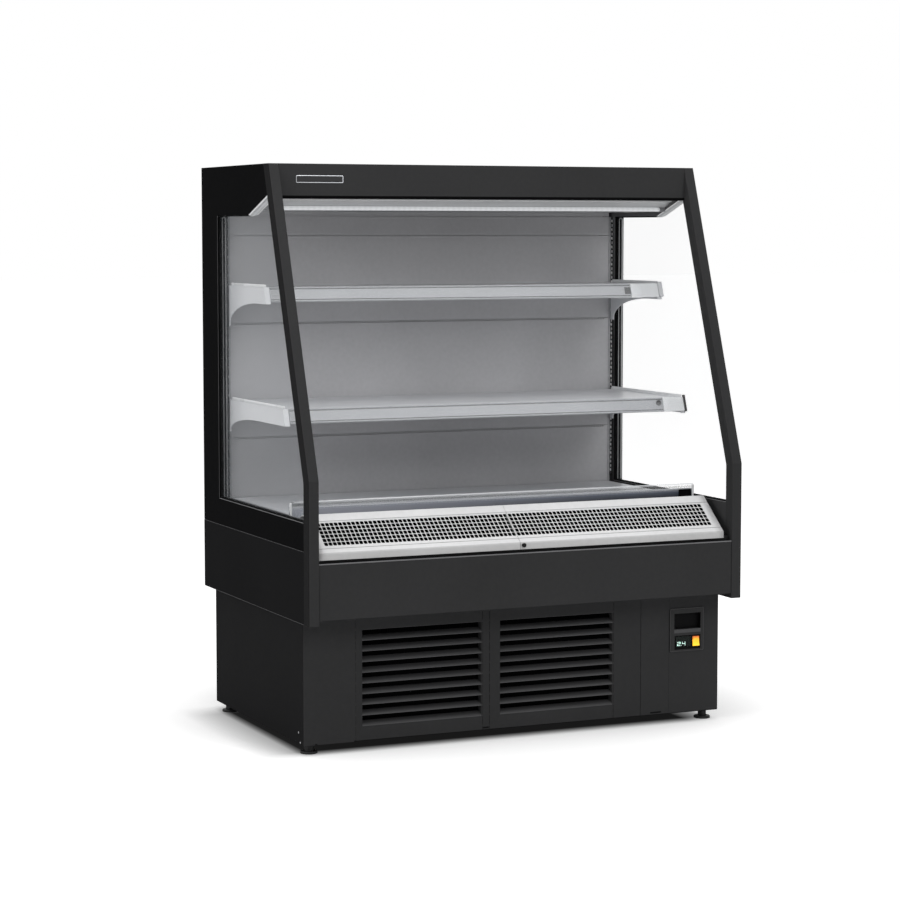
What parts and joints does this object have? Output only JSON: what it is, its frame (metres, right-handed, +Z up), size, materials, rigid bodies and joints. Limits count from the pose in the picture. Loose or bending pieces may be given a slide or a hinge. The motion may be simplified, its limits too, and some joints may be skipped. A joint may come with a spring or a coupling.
{
  "type": "open multideck display fridge",
  "caption": "Open-front refrigerated display cabinet with glazed ends, tilting shelves, a perforated return-air grille and a louvred base with its control.",
  "frame": {"origin": "on the floor, under the middle of the overall box", "axes": "+X to the right seen from the front, -Y out of the open front, +Z up"},
  "size_m": [1.24, 0.815, 1.5],
  "materials": {
    "charcoal_paint": "charcoal powder coat, fine texture",
    "light_grey_paint": "light grey powder coat, satin",
    "duct_grey_paint": "mid grey powder coat, satin",
    "grille_paint": "off-white powder coat, satin",
    "zinc_sheet": "zinc coated sheet",
    "foam": "rigid foam, cut surface",
    "black_panel": "foam-cored panel with a black skin",
    "pane_glass": "clear float glass",
    "black_spacer": "black spacer and printed band",
    "gasket_rubber": "grey rubber",
    "black_plastic": "moulded black plastic",
    "rail_grey": "grey extruded plastic",
    "clear_strip": "clear extruded plastic",
    "smoked_strip": "smoked grey extruded plastic",
    "lamp_white": "opal diffuser",
    "honeycomb_plastic": "dark honeycomb",
    "coil_fins": "bare fins",
    "motor_metal": "dark motor casing",
    "compressor_black": "black enamel",
    "fan_plastic": "moulded fan plastic",
    "frame_zinc": "zinc plated tube",
    "display_glass": "dark display window",
    "switch_yellow": "translucent yellow, lit",
    "foot_black": "black moulded pad on a plated stem"
  },
  "bodies": {
    "cabinet": {"left_front_post": "charcoal_paint", "right_front_post": "charcoal_paint", "left_end_frame": "black_panel", "right_end_frame": "black_panel", "left_tub_side_panel": "black_panel", "right_tub_side_panel": "black_panel", "window_panes": "pane_glass", "window_spacers": "black_spacer", "window_gaskets": "gasket_rubber", "front_fascia": "charcoal_paint", "tub_outer_skin": "zinc_sheet", "insulation_foam": "foam", "inner_liner": "light_grey_paint", "tub_front_rim": "black_plastic", "rear_and_roof_panel": "charcoal_paint", "header_fascia": "charcoal_paint", "canopy_panel": "light_grey_paint", "lamp_diffuser": "lamp_white", "honeycomb_outlet": "honeycomb_plastic", "back_duct_panels": "duct_grey_paint", "shelf_uprights": "duct_grey_paint", "deck_rail": "smoked_strip", "evaporator_fan_plate": "zinc_sheet", "evaporator_coil": "coil_fins", "fan_motors": "motor_metal", "base_frame": "frame_zinc", "base_left_panel": "charcoal_paint", "base_right_panel": "charcoal_paint", "base_rear_grille": "charcoal_paint", "compressor": "compressor_black", "condenser_coil": "coil_fins", "condenser_shroud": "zinc_sheet", "condensate_tray": "zinc_sheet", "power_inlet": "black_plastic"},
    "upper_shelf": {"upper_shelf_brackets": "light_grey_paint"},
    "upper_tray": {"upper_shelf_tray": "light_grey_paint", "upper_shelf_price_rail": "rail_grey", "upper_shelf_ticket_cover": "clear_strip"},
    "middle_shelf": {"middle_shelf_brackets": "light_grey_paint"},
    "middle_tray": {"middle_shelf_tray": "light_grey_paint", "middle_shelf_price_rail": "rail_grey", "middle_shelf_ticket_cover": "clear_strip"},
    "left_deck": {"left_deck_pan": "light_grey_paint"},
    "right_deck": {"right_deck_pan": "light_grey_paint"},
    "left_grille": {"left_return_grille": "grille_paint"},
    "right_grille": {"right_return_grille": "grille_paint"},
    "catch": {"grille_catch": "black_plastic"},
    "left_fan": {"left_evaporator_fan": "fan_plastic"},
    "right_fan": {"right_evaporator_fan": "fan_plastic"},
    "warm_fan": {"condenser_fan": "fan_plastic"},
    "left_louvres": {"left_louvred_panel": "charcoal_paint"},
    "right_louvres": {"right_louvred_panel": "charcoal_paint"},
    "service_front": {"service_panel": "charcoal_paint", "control_bezel": "black_plastic", "display_lens": "display_glass"},
    "switch": {"rocker_switch": "switch_yellow"},
    "foot_left_front": {"left_front_foot": "foot_black"},
    "foot_right_front": {"right_front_foot": "foot_black"},
    "foot_left_rear": {"left_rear_foot": "foot_black"},
    "foot_right_rear": {"right_rear_foot": "foot_black"}
  },
  "joints": [
    {"name": "upper_shelf_tilt", "type": "hinge", "parent": "cabinet", "child": "upper_shelf", "pos_m": [0, 0.289, 1.149], "axis": [-1, 0, 0], "range_deg": [0, 10]},
    {"name": "upper_tray_lift", "type": "slide", "parent": "upper_shelf", "child": "upper_tray", "axis": [0, 0, 1], "range_m": [0, 0.04]},
    {"name": "middle_shelf_tilt", "type": "hinge", "parent": "cabinet", "child": "middle_shelf", "pos_m": [0, 0.289, 0.849], "axis": [-1, 0, 0], "range_deg": [0, 10]},
    {"name": "middle_tray_lift", "type": "slide", "parent": "middle_shelf", "child": "middle_tray", "axis": [0, 0, 1], "range_m": [0, 0.04]},
    {"name": "left_deck_lift", "type": "slide", "parent": "cabinet", "child": "left_deck", "axis": [0, 0, 1], "range_m": [0, 0.08]},
    {"name": "right_deck_lift", "type": "slide", "parent": "cabinet", "child": "right_deck", "axis": [0, 0, 1], "range_m": [0, 0.08]},
    {"name": "left_grille_lift", "type": "slide", "parent": "cabinet", "child": "left_grille", "axis": [0, 0, 1], "range_m": [0, 0.08]},
    {"name": "right_grille_lift", "type": "slide", "parent": "cabinet", "child": "right_grille", "axis": [0, 0, 1], "range_m": [0, 0.08]},
    {"name": "catch_turn", "type": "hinge", "parent": "right_grille", "child": "catch", "pos_m": [-0.024, -0.4, 0.5195], "axis": [0, -1, 0], "range_deg": [0, 90]},
    {"name": "left_fan_spin", "type": "hinge", "parent": "cabinet", "child": "left_fan", "pos_m": [-0.29, -0.122, 0.484], "axis": [0, 1, 0], "continuous": true},
    {"name": "right_fan_spin", "type": "hinge", "parent": "cabinet", "child": "right_fan", "pos_m": [0.29, -0.122, 0.484], "axis": [0, 1, 0], "continuous": true},
    {"name": "warm_fan_spin", "type": "hinge", "parent": "cabinet", "child": "warm_fan", "pos_m": [0.113, -0.178, 0.19], "axis": [0, 1, 0], "continuous": true},
    {"name": "left_louvres_pull", "type": "slide", "parent": "cabinet", "child": "left_louvres", "axis": [0, -1, 0], "range_m": [0, 0.1]},
    {"name": "right_louvres_pull", "type": "slide", "parent": "cabinet", "child": "right_louvres", "axis": [0, -1, 0], "range_m": [0, 0.1]},
    {"name": "service_front_pull", "type": "slide", "parent": "cabinet", "child": "service_front", "axis": [0, -1, 0], "range_m": [0, 0.1]},
    {"name": "switch_rock", "type": "hinge", "parent": "service_front", "child": "switch", "pos_m": [0.534, -0.314, 0.2195], "axis": [1, 0, 0], "range_deg": [0, 12]},
    {"name": "foot_left_front_turn", "type": "hinge", "parent": "cabinet", "child": "foot_left_front", "pos_m": [-0.575, -0.283, 0], "axis": [0, 0, 1], "continuous": true},
    {"name": "foot_right_front_turn", "type": "hinge", "parent": "cabinet", "child": "foot_right_front", "pos_m": [0.575, -0.283, 0], "axis": [0, 0, 1], "continuous": true},
    {"name": "foot_left_rear_turn", "type": "hinge", "parent": "cabinet", "child": "foot_left_rear", "pos_m": [-0.575, 0.328, 0], "axis": [0, 0, 1], "continuous": true},
    {"name": "foot_right_rear_turn", "type": "hinge", "parent": "cabinet", "child": "foot_right_rear", "pos_m": [0.575, 0.328, 0], "axis": [0, 0, 1], "continuous": true}
  ]
}
